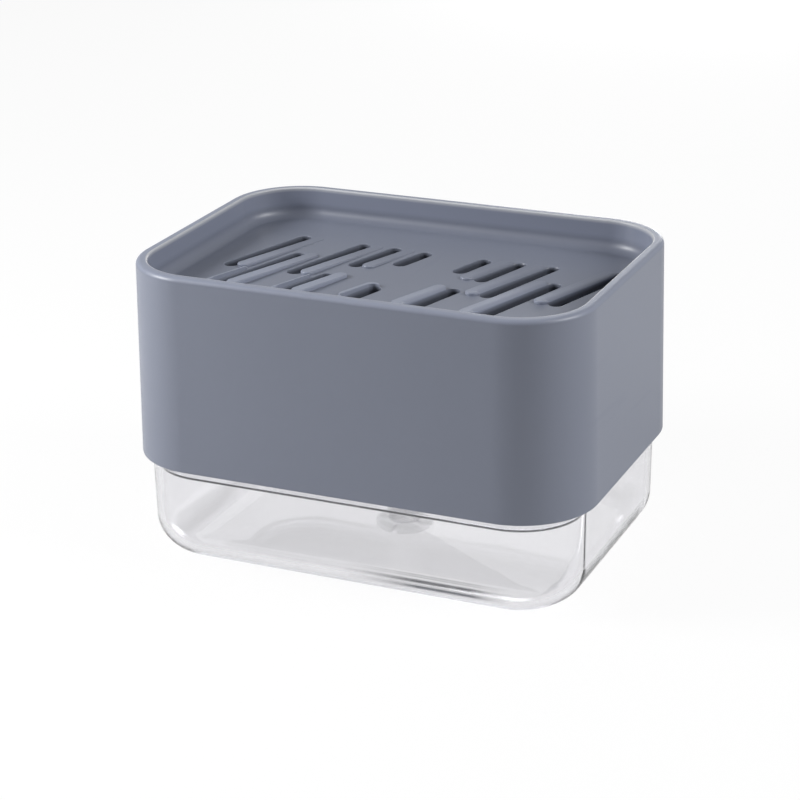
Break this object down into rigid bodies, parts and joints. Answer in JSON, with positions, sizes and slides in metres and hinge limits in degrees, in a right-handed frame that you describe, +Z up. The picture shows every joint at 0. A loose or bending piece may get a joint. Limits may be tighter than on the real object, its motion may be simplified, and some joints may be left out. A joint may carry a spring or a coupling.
{
  "type": "soap pump caddy",
  "caption": "Sponge dish with leaning drain slots and a deep skirt over a clear soap reservoir; pressing the dish works a spring pump inside.",
  "frame": {"origin": "middle of the reservoir's flat base, on the counter", "axes": "+X along the long side of the dish to the right, +Y from the front to the back, +Z up"},
  "size_m": [0.1472, 0.1056, 0.094],
  "materials": {
    "slate_plastic": "slate blue-grey moulded plastic with a soft gloss",
    "clear_plastic": "clear, slightly cool moulded plastic, polished",
    "clear_tube": "frosted clear tube",
    "white_plastic": "off-white moulded plastic",
    "blue_plastic": "blue moulded plastic",
    "dark_silicone": "dark silicone rubber",
    "pale_silicone": "pale grey silicone rubber",
    "ball_steel": "polished stainless steel",
    "spring_steel": "drawn stainless steel wire"
  },
  "bodies": {
    "reservoir": {"reservoir": "clear_plastic"},
    "lid_and_pump": {"reservoir_lid": "clear_plastic", "lid_seal": "pale_silicone", "cylinder_gasket": "dark_silicone", "pump_cylinder": "white_plastic", "stem_guide": "white_plastic", "stem_wiper": "dark_silicone", "retaining_cap": "white_plastic", "inlet_ball_cage": "white_plastic", "dip_tube": "clear_tube", "intake_foot": "white_plastic", "return_spring": "spring_steel"},
    "plunger": {"pump_head": "white_plastic", "channel_plug": "white_plastic", "outlet_valve": "dark_silicone", "stem": "white_plastic", "piston": "blue_plastic", "piston_seal": "dark_silicone"},
    "dish": {"caddy_shell": "slate_plastic", "guide_bush_left": "white_plastic", "guide_bush_right": "white_plastic"},
    "inlet_valve_ball": {"inlet_ball": "ball_steel"},
    "outlet_valve_ball": {"outlet_ball": "ball_steel"}
  },
  "joints": [
    {"name": "lid_lift", "type": "slide", "parent": "reservoir", "child": "lid_and_pump", "axis": [0, 0, 1], "range_m": [0, 0.06]},
    {"name": "press", "type": "slide", "parent": "lid_and_pump", "child": "plunger", "axis": [0, 0, -1], "range_m": [0, 0.007], "stiffness_N_per_m": 600, "springref_m": -0.012, "deforming": ["return_spring"]},
    {"name": "caddy_lift", "type": "slide", "parent": "plunger", "child": "dish", "axis": [0, 0, 1], "range_m": [0, 0.06]},
    {"name": "inlet_ball_lift", "type": "slide", "parent": "lid_and_pump", "child": "inlet_valve_ball", "axis": [0, 0, 1], "range_m": [0, 0.0012]},
    {"name": "outlet_ball_lift", "type": "slide", "parent": "plunger", "child": "outlet_valve_ball", "axis": [0, 0, 1], "range_m": [0, 0.0012]}
  ]
}
